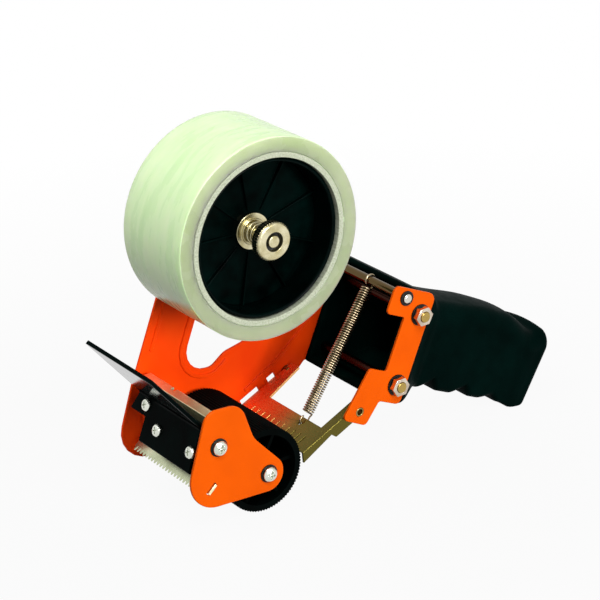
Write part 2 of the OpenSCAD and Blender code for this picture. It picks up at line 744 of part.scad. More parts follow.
roller_half = roller_len / 2;
roller_r = roller_d / 2;
drum_in = roller_r - drum_wall;
boss_r = axle_d / 2 + 3.4;
spokes = 6;
spoke_t = 1.8;
spoke_set = 3.5;
module roller() {
    color([0.06, 0.06, 0.07]) translate([axle.x, roller_half, axle.y]) rotate([90, 0, 0]) difference() {
        union() {
            linear_extrude(roller_len) difference() {
                polygon([for (i = [0:2 * roller_grooves - 1])
                    (roller_r - (i % 2) * groove_depth)
                    * [cos(180 * i / roller_grooves), sin(180 * i / roller_grooves)]]);
                circle(r = drum_in);
            }
            translate([0, 0, 1]) cylinder(r = boss_r, h = roller_len - 2);
            for (k = [0:spokes - 1])
                rotate(360 * k / spokes) translate([boss_r - 1, -spoke_t / 2, spoke_set])
                    cube([drum_in - boss_r + 1.5, spoke_t, roller_len - 2 * spoke_set]);
        }
        translate([0, 0, -1]) cylinder(r = axle_d / 2 + run_gap, h = roller_len + 2);
    }
}
tap_depth = 9;
module tapped_bar(c, d) {
    difference() {
        bar(c, d, -y_in, y_in);
        bar(c, side_screw_d + 2 * run_gap, y_in - tap_depth, y_in + 1);
        bar(c, side_screw_d + 2 * run_gap, -y_in - 1, -y_in + tap_depth);
    }
}
module roller_axle() { color("silver") tapped_bar(axle, axle_d); }
module tie_rod() { color("silver") tapped_bar(tie, tie_d); }

// Cross-recessed pan screws on dark washers, at both ends of the axle and of the tie rod

side_washer_t = 0.7;
side_washer_d = 8.8;
pan_d = 7.2;
pan_h = 2.4;
// Head on the plane z = 0, shank below it
module pan_screw(d, head_d, head_h, shank) {
    difference() {
        union() {
            rotate_extrude() polygon([[0, 0], [head_d / 2, 0], [head_d / 2, head_h * 0.45],
                [head_d * 0.42, head_h * 0.78], [head_d * 0.26, head_h * 0.96], [0, head_h]]);
            translate([0, 0, -shank]) cylinder(d = d, h = shank + 0.1);
        }
        for (q = [0, 90])
            rotate(q) translate([-head_d * 0.27, -head_d * 0.055, head_h * 0.4])
                cube([head_d * 0.54, head_d * 0.11, head_h]);
    }
}
module side_screws() {
    color("whitesmoke") for (c = [axle, tie]) {
        translate([c.x, -y_out - side_washer_t, c.y]) rotate([90, 20, 0])
            pan_screw(side_screw_d, pan_d, pan_h, side_washer_t + plate_t + tap_depth - 1);
        translate([c.x, y_out + side_washer_t, c.y]) rotate([-90, 20, 0])
            pan_screw(side_screw_d, pan_d, pan_h, side_washer_t + plate_t + tap_depth - 1);
    }
}
module side_washers() {
    color([0.1, 0.1, 0.1]) for (c = [axle, tie]) for (s = [-1, 1])
        difference() {
            bar(c, side_washer_d, s > 0 ? y_out : -y_out - side_washer_t,
                s > 0 ? y_out + side_washer_t : -y_out);
            bar(c, side_screw_d + 2 * bolt_gap, -y_out - 2, y_out + 2);
        }
}

// Blade carrier, blade, guard and flap

module on_guard(s, y) {
    p = guard_top + guard_dir * s;
    translate([p.x, y, p.y]) rotate([0, -atan2(-guard_out.x, guard_out.y), 0]) children();
}
module each_guard_screw() {
    for (row = [0, 1]) for (y = guard_screw_y[row])
        on_guard(guard_screw_in[row], y) children();
}
guard_shank = 11;
notch_w = 3;
module blade_carrier() {
    color("khaki") difference() {
        union() {
            slab(strip(carrier_path, 0, carrier_t), -half_nose, half_nose);
            slab(strip(tab_path, 0.2, ear_drop), half_nose - carrier_t, half_nose);
            slab(strip(tab_path, 0.2, ear_drop), -half_nose, carrier_t - half_nose);
            slab(strip(tab_path, ear_drop - tab_t, ear_drop), half_nose - 0.5, y_out + tab_out);
            slab(strip(tab_path, ear_drop - tab_t, ear_drop), -y_out - tab_out, 0.5 - half_nose);
        }
        each_guard_screw() translate([0, 0, -guard_shank - 2])
            cylinder(d = screw_d + 2 * bolt_gap, h = guard_shank + 2);
        translate([web_x + flange_reach - 2, 4, flange_top - 2]) cube([4, notch_w, 4]);
    }
}
tooth_count = floor(nose_w / tooth_pitch);
module cutter_blade() {
    start = bend + blade_dir * 0.2;
    color("gainsboro")
        translate([start.x, 0, start.y]) rotate([0, 180 - blade_rake, 0]) rotate([180, 0, 0])
            linear_extrude(blade_t) polygon(concat(
                [[0, -tooth_count * tooth_pitch / 2]],
                [for (i = [0:tooth_count - 1]) each [
                    [blade_len - tooth_h, (i - tooth_count / 2) * tooth_pitch],
                    [blade_len, (i + 0.5 - tooth_count / 2) * tooth_pitch]]],
                [[blade_len - tooth_h, tooth_count * tooth_pitch / 2],
                 [0, tooth_count * tooth_pitch / 2]]));
}
guard_outline = [
    [web_x, guard_top.y, 0],
    concat(guard_top, [0.6]),
    concat(guard_toe, [0.8]),
    [guard_toe.x + 1.6, guard_toe.y - 0.9, 0.5],
    [web_x, guard_toe.y + 0.8, 0]
];
module blade_guard() {
    low = guard_top + guard_dir * guard_step;
    near = flap_root;
    far = flap_root + flap_dir * knuckle_d;
    far_w = mouth_w + knuckle_d * tan(flap_swing);
    color([0.05, 0.07, 0.06]) difference() {
        union() {
            slab(rounded(guard_outline), -half_nose, half_nose);
            bar(flap_root, knuckle_d, -half_nose, half_nose);
        }
        bar(flap_root, bead_d + 2 * run_gap, -half_nose - 1, half_nose + 1);
        slab([near - flap_side * mouth_w, near + flap_side * mouth_w,
              far + flap_side * far_w, far - flap_side * far_w], -half_nose - 1, half_nose + 1);
        slab([low - guard_out * 14, low + guard_out * 2,
              low + guard_out * 2 + guard_dir * 20, low - guard_out * 14 + guard_dir * 20],
             guard_side, half_nose + 1);
        on_guard(0, 0) translate([0, 0, -guard_shank]) linear_extrude(2 * guard_shank)
            polygon([[guard_step, half_nose - 2 * guard_taper], [-guard_step, half_nose],
                [guard_step, half_nose + 1]]);
        each_guard_screw() translate([0, 0, -guard_shank - 2])
            cylinder(d = screw_d + 2 * bolt_gap, h = guard_shank + 4);
    }
}
// Shanks reach through the guard and the carrier's web
function shank_at(s) = (web_x + carrier_t + 0.4 - (guard_top + guard_dir * s).x) / -guard_out.x;
module guard_screws() {
    color("whitesmoke") for (row = [0, 1]) for (y = guard_screw_y[row])
        on_guard(guard_screw_in[row], y) rotate(25)
            pan_screw(screw_d, screw_head_d, screw_head_h, shank_at(guard_screw_in[row]));
}
module wiper_flap() {
    color([0.05, 0.07, 0.07]) union() {
        slab(strip([flap_root, flap_root + flap_dir * (neck_len + neck_run / 2)], -neck_t / 2, neck_t / 2),
             -half_nose, half_nose);
        slab([for (e = [[neck_len, -neck_t], [neck_len + neck_run, -flap_t], [flap_len, -flap_t],
                        [flap_len, flap_t], [neck_len + neck_run, flap_t], [neck_len, neck_t]])
                flap_root + flap_dir * e[0] + flap_side * e[1] / 2],
             -half_nose, half_nose);
        bar(flap_root, bead_d, -half_nose, half_nose);
    }
}

// Spindle, hub and brake

module spindle() {
    color("tan") {
        bar(hub_c, spindle_d, hub_web_y + 1, y_out + 0.1);
        bar(hub_c, thread_d, spindle_tip, hub_web_y + 1.1);
        hex_bar(hub_c, spindle_d * 1.6, y_out, y_out + 4);
    }
}
module spindle_nut() {
    color("silver") difference() {
        hex_bar(hub_c, spindle_d * 1.6, spindle_nut_y, y_in);
        bar(hub_c, spindle_d + 2 * run_gap, spindle_nut_y - 1, y_in + 1);
    }
}
module thrust_washer() {
    color("dimgray") difference() {
        bar(hub_c, hub_boss_r * 2 - 1, spindle_nut_y - thrust_t - 0.1, spindle_nut_y - 0.1);
        bar(hub_c, spindle_d + 2 * bolt_gap, spindle_nut_y - thrust_t - 1, spindle_nut_y + 1);
    }
}
lip_r = 1;
module hub() {
    color([0.05, 0.06, 0.06]) turned(hub_c, [[hub_in, -hub_front + 1], [hub_r - hub_wall * 0.7, -hub_front],
        [hub_r - lip_r, -hub_front], [hub_r, -hub_front + lip_r], [hub_r, tape_half + free_gap],
        [core_out + 1, tape_half + free_gap], [core_out + 1, hub_back], [hub_in - hub_shoulder, hub_back],
        [hub_in - hub_shoulder, hub_web_y + hub_web_t], [hub_in, hub_web_y + hub_web_t]]);
}
// The web is pushed into the drum from the front, against its shoulder
module hub_web() {
    bore_r = spindle_d / 2 + run_gap;
    rib_from = brake_washer_d / 2 + 1.5;
    rib_to = hub_in - free_gap;
    boss_end = spindle_nut_y - thrust_t - 0.2;
    color([0.05, 0.06, 0.06]) union() {
        turned(hub_c, [[bore_r, hub_web_y], [hub_in - run_gap, hub_web_y],
            [hub_in - run_gap, hub_web_y + hub_web_t], [hub_boss_r, hub_web_y + hub_web_t],
            [hub_boss_r, boss_end], [bore_r, boss_end]]);
        // Radial ribs, deeper towards the drum
        translate([hub_c.x, 0, hub_c.y]) for (k = [0:hub_ribs - 1])
            rotate([0, -hub_rib_turn - 360 * k / hub_ribs, 0])
                translate([0, 0, -hub_rib_t / 2]) linear_extrude(hub_rib_t)
                    polygon([[rib_from, hub_web_y + 0.2], [rib_from, hub_web_y - hub_rib_in],
                        [rib_to, hub_web_y - hub_rib_out], [rib_to, hub_web_y + 0.2]]);
    }
}
module brake_washer() {
    color("wheat") turned(hub_c, [[thread_d / 2 + bolt_gap, brake_washer_y],
        [brake_washer_d * 0.36, brake_washer_y], [brake_washer_d * 0.36, brake_washer_y + 1.2],
        [brake_washer_d / 2, brake_washer_y + 1.2], [brake_washer_d / 2, brake_washer_y + washer_t],
        [thread_d / 2 + bolt_gap, brake_washer_y + washer_t]]);
}
module spring_washer() {
    color("wheat") turned(hub_c, [[thread_d / 2 + bolt_gap, seat_y],
        [brake_spring_d / 2 + 0.8, seat_y], [brake_spring_d / 2 + 0.8, seat_y + seat_t],
        [thread_d / 2 + bolt_gap, seat_y + seat_t]]);
}
knurls = 44;
knurl_h = 0.35;
recess_d = thread_d + 3.6;
recess_h = 2.6;
module brake_nut() {
    r = brake_nut_d / 2;
    color("wheat") difference() {
        union() {
            translate([hub_c.x, nut_y + brake_nut_t - 0.8, hub_c.y]) rotate([90, 0, 0])
                linear_extrude(brake_nut_t - 1.8) polygon([for (i = [0:2 * knurls - 1])
                    (r - (i % 2) * knurl_h) * [cos(180 * i / knurls), sin(180 * i / knurls)]]);
            turned(hub_c, [[0, nut_y], [r - 1, nut_y], [r - 0.4, nut_y + 0.6], [r - 0.4, nut_y + 1.1],
                [0, nut_y + 1.1]]);
            turned(hub_c, [[0, nut_y + brake_nut_t - 0.9], [r - 0.4, nut_y + brake_nut_t - 0.9],
                [r - 1, nut_y + brake_nut_t], [0, nut_y + brake_nut_t]]);
        }
        bar(hub_c, thread_d + 2 * run_gap, nut_y - 1, nut_y + brake_nut_t + 1);
        bar(hub_c, recess_d, nut_y - 1, nut_y + recess_h);
    }
}
module tape_core() {
    color("lightgray") turned(hub_c, [[core_r, -tape_half], [core_out, -tape_half],
        [core_out, tape_half], [core_r, tape_half]]);
}
film_gap = 0.05;
module tape_film() {
    color("palegoldenrod") turned(hub_c, [[core_out + film_gap, -tape_half], [film_r, -tape_half],
        [film_r, tape_half], [core_out + film_gap, tape_half]]);
}

main_frame();
nose_plate();
handle_bracket();
handle();
handle_bolts();
handle_nuts();
nut_washers();
spring_rod();
rod_clips();
gate_pins();
gate_plate();
gate_spring();
roller();
roller_axle();
tie_rod();
side_screws();
side_washers();
blade_carrier();
cutter_blade();
blade_guard();
guard_screws();
wiper_flap();
spindle();
spindle_nut();
thrust_washer();
hub();
hub_web();
brake_washer();
brake_spring();
spring_washer();
brake_nut();
tape_core();
tape_film();
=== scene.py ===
# Looks of a handheld packing tape dispenser: bevelled plates, moulded grip, wound springs,
# finishes, soft light and the camera. Lengths are in millimetres until a mesh is made.
import json
import math

import bmesh
import bpy
from mathutils import Matrix, Vector


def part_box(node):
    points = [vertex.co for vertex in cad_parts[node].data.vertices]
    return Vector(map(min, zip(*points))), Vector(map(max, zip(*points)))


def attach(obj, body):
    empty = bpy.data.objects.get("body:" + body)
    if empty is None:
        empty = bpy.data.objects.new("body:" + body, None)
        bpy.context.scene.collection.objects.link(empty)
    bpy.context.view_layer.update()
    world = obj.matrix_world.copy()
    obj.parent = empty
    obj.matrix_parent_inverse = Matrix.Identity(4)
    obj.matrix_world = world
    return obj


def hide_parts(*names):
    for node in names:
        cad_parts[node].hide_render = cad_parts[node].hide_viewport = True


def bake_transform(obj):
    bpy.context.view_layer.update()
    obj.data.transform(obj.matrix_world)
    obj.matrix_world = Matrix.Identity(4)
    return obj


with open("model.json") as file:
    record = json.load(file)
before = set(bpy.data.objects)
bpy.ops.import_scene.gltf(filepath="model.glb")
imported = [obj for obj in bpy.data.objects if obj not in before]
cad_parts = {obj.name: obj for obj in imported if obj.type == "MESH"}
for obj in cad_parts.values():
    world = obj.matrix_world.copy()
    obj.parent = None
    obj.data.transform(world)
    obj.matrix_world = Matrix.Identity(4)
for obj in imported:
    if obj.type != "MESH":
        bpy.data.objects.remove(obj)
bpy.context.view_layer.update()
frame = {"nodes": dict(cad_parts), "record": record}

MM = 0.001
# Faces that meet at more than this stay crisp
SHARP_DEG = 32
# Faces nearer to one plane than this become one
FLAT_DEG = 0.5
# Corners nearer than this become one, in metres: in a new piece and in a CAD node
WELD = 1e-7
CAD_WELD = 2e-6
# A face looks along a direction where the cosine between them is above this
FACING = 0.9


# Small geometry helpers

def middle(node):
    """Middle of a CAD node's box, in millimetres."""
    lo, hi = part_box(node)
    return (lo / MM + hi / MM) / 2


def new_piece(name, mesh):
    piece = bpy.data.objects.new(name, mesh)
    bpy.context.scene.collection.objects.link(piece)
    return piece


def soften(mesh, sharp_deg=SHARP_DEG):
    """Smooth shading, kept crisp where faces meet at more than sharp_deg."""
    mesh.shade_smooth()
    mesh.set_sharp_from_angle(angle=math.radians(sharp_deg))


def mesh_piece(name, points, faces, sharp_deg=SHARP_DEG):
    """A new piece from points in millimetres, its faces turned outwards."""
    mesh = bpy.data.meshes.new(name)
    mesh.from_pydata([Vector(p) * MM for p in points], [], faces)
    work = bmesh.new()
    work.from_mesh(mesh)
    bmesh.ops.remove_doubles(work, verts=work.verts, dist=WELD)
    bmesh.ops.recalc_face_normals(work, faces=work.faces)
    work.to_mesh(mesh)
    work.free()
    soften(mesh, sharp_deg)
    return new_piece(name, mesh)


def tube_faces(rings, sides):
    """Quads between rings of the same number of points, laid one after another, and both ends."""
    faces = []
    for i in range(rings - 1):
        for k in range(sides):
            a = i * sides + k
            b = i * sides + (k + 1) % sides
            faces.append((a, b, b + sides, a + sides))
    faces.append(tuple(range(sides)))
    faces.append(tuple(range((rings - 1) * sides, rings * sides)))
    return faces


def body_of(node):
    """Name of the body that a CAD node belongs to."""
    return next(b for b, nodes in frame["record"]["behaviour"]["bodies"].items() if node in nodes)


def settle(piece, node, finish):
    """The piece stands for a CAD node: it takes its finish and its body."""
    piece.data.materials.clear()
    piece.data.materials.append(finish)
    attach(piece, body_of(node))
    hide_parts(node)
    return piece


def dress(node, finish, edge, steps=2, sharp_deg=SHARP_DEG, ends=None, split=False):
    """A copy of a CAD node with its hard edges rounded by a bevel of the width edge.

    Faces that look along Y take the finish ends, where there is one. A node whose flat faces
    go round an opening has them split into convex ones.
    """
    mesh = bpy.data.meshes.new(node + "_rounded")
    work = bmesh.new()
    work.from_mesh(frame["nodes"][node].data)
    bmesh.ops.remove_doubles(work, verts=work.verts, dist=CAD_WELD)
    bmesh.ops.dissolve_limit(
        work, angle_limit=math.radians(FLAT_DEG), verts=work.verts, edges=work.edges, delimit=set())
    if split:
        bmesh.ops.connect_verts_concave(work, faces=[f for f in work.faces if len(f.verts) > 4])
    work.to_mesh(mesh)
    work.free()
    soften(mesh, sharp_deg)
    piece = new_piece(node + "_rounded", mesh)
    bevel = piece.modifiers.new("edges", "BEVEL")
    bevel.limit_method = "ANGLE"
    bevel.angle_limit = math.radians(sharp_deg)
    bevel.width = edge * MM
    bevel.segments = steps
    bevel.use_clamp_overlap = False
    even = piece.modifiers.new("even_shading", "WEIGHTED_NORMAL")
    even.keep_sharp = True
    settle(piece, node, finish)
    if ends:
        finish_where(piece, ends, lambda face: abs(face.normal.y) > FACING)
    return piece


def finish_where(piece, finish, chosen):
    """A second finish on the faces that chosen picks."""
    piece.data.materials.append(finish)
    for face in piece.data.polygons:
        if chosen(face):
            face.material_index = 1


def repaint(node, finish):
    """A CAD node that shows as it is, with a better material."""
    cad = frame["nodes"][node]
    cad.data.materials.clear()
    cad.data.materials.append(finish)


def wire(name, path, thickness, sides=10):
    """A round wire swept along a path, closed at both ends."""
    path = [Vector(p) for p in path]
    last = len(path) - 1
    points = []
    normal = None
    for i, p in enumerate(path):
        along = (path[min(i + 1, last)] - path[max(i - 1, 0)]).normalized()
        if normal is None:
            normal = along.orthogonal()
        normal = (normal - along * normal.dot(along)).normalized()
        across = along.cross(normal)
        for k in range(sides):
            turn = 2 * math.pi * k / sides
            points.append(p + (normal * math.cos(turn) + across * math.sin(turn)) * thickness / 2)
    return mesh_piece(name, points, tube_faces(len(path), sides), sharp_deg=60)


# Material helpers

def surface(name, **sockets):
    """A material with a principled shader; sockets are given with _ for the spaces in their names."""
    material = bpy.data.materials.new(name)
    material.use_nodes = True
    shader = material.node_tree.nodes["Principled BSDF"]
    for socket, value in sockets.items():
        shader.inputs[socket.replace("_", " ")].default_value = value
    return material, material.node_tree, shader


def place(tree, stretch=(1, 1, 1), centre=(0, 0, 0)):
    """Object coordinates measured from centre, in millimetres, and stretched."""
    source = tree.nodes.new("ShaderNodeTexCoord")
    mapping = tree.nodes.new("ShaderNodeMapping")
    scale = [s / MM for s in stretch]
    mapping.inputs["Scale"].default_value = scale
    mapping.inputs["Location"].default_value = [-c * s * MM for c, s in zip(centre, scale)]
    tree.links.new(source.outputs["Object"], mapping.inputs["Vector"])
    return mapping.outputs["Vector"]


def noise(tree, where, size, detail=2.0):
    """Cloudy noise whose spots are about size millimetres across."""
    node = tree.nodes.new("ShaderNodeTexNoise")
    node.inputs["Scale"].default_value = 1 / size
    node.inputs["Detail"].default_value = detail
    tree.links.new(where, node.inputs["Vector"])
    return node.outputs["Fac"]


def ramp(tree, value, stops):
    """Colours along a value, given as (position, colour)."""
    node = tree.nodes.new("ShaderNodeValToRGB")
    node.color_ramp.elements[0].position = stops[0][0]
    node.color_ramp.elements[0].color = (*stops[0][1], 1)
    node.color_ramp.elements[1].position = stops[-1][0]
    node.color_ramp.elements[1].color = (*stops[-1][1], 1)
    for position, colour in stops[1:-1]:
        node.color_ramp.elements.new(position).color = (*colour, 1)
    tree.links.new(value, node.inputs["Fac"])
    return node.outputs["Color"]


def between(tree, value, low, high, from_low=0.3, from_high=0.7):
    """The value's range mapped onto low to high."""
    node = tree.nodes.new("ShaderNodeMapRange")
    node.inputs["From Min"].default_value = from_low
    node.inputs["From Max"].default_value = from_high
    node.inputs["To Min"].default_value = low
    node.inputs["To Max"].default_value = high
    tree.links.new(value, node.inputs["Value"])
    return node.outputs["Result"]


def calc(tree, operation, *values):
    """A math node on numbers and on other nodes' outputs."""
    node = tree.nodes.new("ShaderNodeMath")
    node.operation = operation
    for socket, value in zip(node.inputs, values):
        if isinstance(value, (int, float)):
            socket.default_value = value
        else:
            tree.links.new(value, socket)
    return node.outputs["Value"]


def bump(tree, shader, height, depth):
    """Relief from a height of 0 to 1, depth millimetres deep."""
    node = tree.nodes.new("ShaderNodeBump")
    node.inputs["Strength"].default_value = 1.0
    node.inputs["Distance"].default_value = depth * MM
    tree.links.new(height, node.inputs["Height"])
    tree.links.new(node.outputs["Normal"], shader.inputs["Normal"])


def rings_round(tree, centre, pitch):
    """A wave of the given pitch that runs out from an axis along Y."""
    split = tree.nodes.new("ShaderNodeSeparateXYZ")
    tree.links.new(place(tree, centre=centre), split.inputs["Vector"])
    square_x = calc(tree, "MULTIPLY", split.outputs["X"], split.outputs["X"])
    square_z = calc(tree, "MULTIPLY", split.outputs["Z"], split.outputs["Z"])
    radius = calc(tree, "SQRT", calc(tree, "ADD", square_x, square_z))
    wave = calc(tree, "SINE", calc(tree, "MULTIPLY", radius, 2 * math.pi / pitch))
    return calc(tree, "MULTIPLY_ADD", wave, 0.5, 0.5)


# Finishes

def paint(name, deep, bright):
    """Stove paint on sheet steel: faint clouds and orange peel."""
    material, tree, shader = surface(name, Specular_IOR_Level=0.04)
    where = place(tree)
    tree.links.new(ramp(tree, noise(tree, where, 22, 3), [(0.3, deep), (0.7, bright)]),
                   shader.inputs["Base Color"])
    tree.links.new(between(tree, noise(tree, where, 3), 0.28, 0.40), shader.inputs["Roughness"])
    bump(tree, shader, noise(tree, where, 0.9, 1), 0.02)
    return material


def metal(name, colours, rough, streak=(1, 1, 1), grain=0.6, relief=0.008):
    """Plated or drawn metal: cloudy tint, streaked roughness and a fine grain."""
    material, tree, shader = surface(name, Metallic=1.0)
    stops = [(0.3 + 0.4 * i / (len(colours) - 1), c) for i, c in enumerate(colours)]
    tree.links.new(ramp(tree, noise(tree, place(tree), 6, 4), stops), shader.inputs["Base Color"])
    drawn = noise(tree, place(tree, streak), grain, 3)
    tree.links.new(between(tree, drawn, rough[0], rough[1]), shader.inputs["Roughness"])
    bump(tree, shader, drawn, relief)
    return material


def metal_painted_in_bands(name, bands, rough, streak=(1, 1, 1), grain=0.6):
    """Plated metal whose colour changes along Y in bands that paint light and shade onto it; bands are (y,
    colour), with a cloudy border.
    """
    material, tree, shader = surface(name, Metallic=1.0)
    split = tree.nodes.new("ShaderNodeSeparateXYZ")
    tree.links.new(place(tree), split.inputs["Vector"])
    clouds = noise(tree, place(tree), 5, 3)
    y = calc(tree, "MULTIPLY_ADD", clouds, 8, calc(tree, "SUBTRACT", split.outputs["Y"], 4))
    low, high = bands[0][0], bands[-1][0]
    stops = [((at - low) / (high - low), colour) for at, colour in bands]
    tree.links.new(ramp(tree, between(tree, y, 0, 1, low, high), stops), shader.inputs["Base Color"])
    drawn = noise(tree, place(tree, streak), grain, 3)
    tree.links.new(between(tree, drawn, rough[0], rough[1]), shader.inputs["Roughness"])
    bump(tree, shader, drawn, 0.008)
    return material


def turned_metal(name, colours, centre, rough):
    """Metal faced on a lathe: fine rings about an axis along Y."""
    material, tree, shader = surface(name, Metallic=1.0)
    tree.links.new(ramp(tree, noise(tree, place(tree), 5, 3), [(0.35, colours[0]), (0.65, colours[1])]),
                   shader.inputs["Base Color"])
    tool_marks = rings_round(tree, centre, 0.35)
    tree.links.new(between(tree, tool_marks, rough[0], rough[1], 0, 1), shader.inputs["Roughness"])
    bump(tree, shader, tool_marks, 0.006)
    return material


def moulded(name, dark, light, rough, grain, relief, specular):
    """Black moulding: mottled tint and a fine spark-eroded grain."""
    material, tree, shader = surface(name, Specular_IOR_Level=specular)
    where = place(tree)
    tree.links.new(ramp(tree, noise(tree, where, 14, 3), [(0.3, dark), (0.7, light)]),
                   shader.inputs["Base Color"])
    tree.links.new(between(tree, noise(tree, where, 4), rough[0], rough[1]), shader.inputs["Roughness"])
    bump(tree, shader, noise(tree, where, grain, 2), relief)
    return material


def clear_film(name, centre, stops, milky, depth):
    """Wound clear film: pale green-yellow with broad bands and fine winding lines."""
    material, tree, shader = surface(
        name, Subsurface_Weight=milky, Subsurface_Scale=depth * MM, Specular_IOR_Level=0.3)
    shader.inputs["Subsurface Radius"].default_value = (1.0, 1.2, 0.7)
    bands = noise(tree, place(tree, (0.25, 1, 0.25)), 5, 3)
    winding = rings_round(tree, centre, 0.45)
    tint = calc(tree, "MULTIPLY_ADD", winding, 0.2, calc(tree, "MULTIPLY", bands, 0.8))
    tree.links.new(ramp(tree, tint, stops), shader.inputs["Base Color"])
    tree.links.new(between(tree, bands, 0.22, 0.36), shader.inputs["Roughness"])
    bump(tree, shader, winding, 0.02)
    return material


def grey_card(name):
    """Pressed grey card: fibres and flecks."""
    material, tree, shader = surface(name, Roughness=0.85, Specular_IOR_Level=0.25)
    fibres = noise(tree, place(tree, (1, 0.2, 1)), 0.8, 4)
    stops = [(0.3, (0.27, 0.30, 0.21)), (0.5, (0.39, 0.42, 0.31)), (0.72, (0.50, 0.53, 0.43))]
    tree.links.new(ramp(tree, fibres, stops), shader.inputs["Base Color"])
    bump(tree, shader, fibres, 0.08)
    return material


tape_axis = middle("tape_core")
# The same orange paint in two copies, each set for how its plate is lit: the near plates' copy is toned down
# for the strong front light, and the far plate's copy is redder as painted warm shade where it sits behind
# the roll.
ORANGE = paint("orange_paint", (0.62, 0.074, 0.0005), (0.70, 0.088, 0.0005))
ORANGE_PAINTED_WARM_SHADE = paint("orange_paint_painted_warm_shade", (0.88, 0.046, 0.001), (0.98, 0.066, 0.002))
# The gate's colour changes along Y: the dark olive at the near end is painted shade over the olive zinc, and
# the orange towards the far plate is a painted reflection of the orange frame.
GATE_ZINC_PAINTED_LIGHT = metal_painted_in_bands(
    "gate_zinc_painted_light", [(-28, (0.12, 0.10, 0.02)), (-10, (0.16, 0.12, 0.025)), (6, (0.60, 0.30, 0.09)),
                  (28, (0.95, 0.50, 0.20))], (0.20, 0.34), (1, 6, 1))
# The bolts are pale zinc at their ends outside the plates. Between the plates they are nearly black and
# faintly red, which is painted shade and a painted red reflection inside the grip.
BOLT_ZINC_PAINTED_SHADE = metal_painted_in_bands(
    "bolt_zinc_painted_shade", [(-38, (0.46, 0.32, 0.09)), (-31, (0.38, 0.26, 0.08)), (-28, (0.03, 0.010, 0.006)),
                  (28, (0.03, 0.010, 0.006)), (31, (0.38, 0.28, 0.12)), (38, (0.50, 0.40, 0.20))],
    (0.18, 0.32))
# The spring rod is pale zinc at its ends in the plates. Between them it is dark brown, which is painted
# shade with a faint painted orange reflection where it crosses the grip's mouth.
ROD_ZINC_PAINTED_SHADE = metal_painted_in_bands(
    "rod_zinc_painted_shade", [(-36, (0.72, 0.70, 0.62)), (-31, (0.62, 0.60, 0.52)), (-27, (0.10, 0.065, 0.025)),
                 (27, (0.10, 0.065, 0.025)), (31, (0.62, 0.60, 0.52)), (36, (0.72, 0.70, 0.62))],
    (0.10, 0.18), (1, 0.2, 1))
YELLOW_ZINC = metal(
    "yellow_zinc", [(0.16, 0.12, 0.03), (0.30, 0.23, 0.08), (0.36, 0.25, 0.11)], (0.22, 0.40), (1, 6, 1))
PALE_ZINC = metal("pale_zinc", [(0.78, 0.74, 0.44), (0.94, 0.92, 0.62)], (0.25, 0.42), (1, 8, 1))
BRIGHT_ZINC = metal("bright_zinc", [(0.60, 0.63, 0.54), (0.78, 0.80, 0.72)], (0.16, 0.30))
NUT_ZINC = metal("nut_zinc", [(0.46, 0.36, 0.27), (0.80, 0.72, 0.60)], (0.16, 0.28))
BLADE_STEEL = metal("blade_steel", [(0.44, 0.48, 0.30), (0.60, 0.64, 0.44)], (0.22, 0.36), (1, 10, 1))
SPRING_WIRE = metal("spring_wire", [(0.22, 0.17, 0.10), (0.52, 0.42, 0.27)], (0.16, 0.28), grain=0.3)
PALE_BRASS = turned_metal("pale_brass", [(0.48, 0.42, 0.22), (0.68, 0.63, 0.42)], tape_axis, (0.18, 0.30))
# Black steel for the black washers and clips, also used as painted shade in the brake nut's recess.
BLACK_STEEL_AND_PAINTED_SHADE = metal("black_steel_and_painted_shade", [(0.010, 0.012, 0.012), (0.03, 0.03, 0.03)], (0.35, 0.5))
SATIN_BLACK = moulded(
    "satin_black", (0.0001, 0.0026, 0.0021), (0.0003, 0.0050, 0.0040), (0.42, 0.52), 0.35, 0.02, 0.006)
GLOSS_BLACK = moulded(
    "gloss_black", (0.0001, 0.0006, 0.0005), (0.0004, 0.0048, 0.0040), (0.18, 0.28), 1.5, 0.006, 0.01)
RUBBER_BLACK = moulded(
    "rubber_black", (0.0002, 0.0006, 0.0005), (0.0006, 0.0018, 0.0016), (0.40, 0.55), 0.5, 0.03, 0.012)
FLEXIBLE_BLACK = moulded(
    "flexible_black", (0.0003, 0.0024, 0.0022), (0.0008, 0.0050, 0.0044), (0.08, 0.14), 2.0, 0.006, 0.7)
CUT_BLACK = moulded(
    "cut_black", (0.0002, 0.0012, 0.0010), (0.0006, 0.0030, 0.0026), (0.55, 0.70), 0.6, 0.02, 0.01)
HUB_BLACK = moulded(
    "hub_black", (0.0001, 0.0006, 0.0005), (0.0003, 0.0036, 0.0030), (0.16, 0.24), 1.5, 0.006, 0.03)
FILM = clear_film(
    "clear_film", tape_axis,
    [(0.25, (0.52, 0.75, 0.37)), (0.5, (0.62, 0.84, 0.46)), (0.75, (0.72, 0.89, 0.54))], 0.4, 8)
FILM_ENDS = clear_film(
    "clear_film_ends", tape_axis,
    [(0.25, (0.28, 0.35, 0.18)), (0.5, (0.35, 0.42, 0.24)), (0.75, (0.42, 0.49, 0.29))], 1.0, 20)
CARD = grey_card("grey_card")


# Plates and small metal parts: CAD shapes with rounded edges

FLAP_RISE = math.radians(51.5)
FLAP_BROADSIDE = Vector((math.sin(FLAP_RISE), 0, math.cos(FLAP_RISE)))
NUT_RECESS_R = 4.5


def in_recess_painted_shade(face):
    """The brake nut's recess round the stud, which is painted black as shade."""
    away = face.center / MM - tape_axis
    return math.hypot(away.x, away.z) < NUT_RECESS_R


# The far plate takes the redder orange copy, whose tone is painted warm shade.
dress("main_frame", ORANGE_PAINTED_WARM_SHADE, 0.35, 3)
dress("nose_plate", ORANGE, 0.35, 3)
dress("handle_bracket", ORANGE, 0.35, 3)
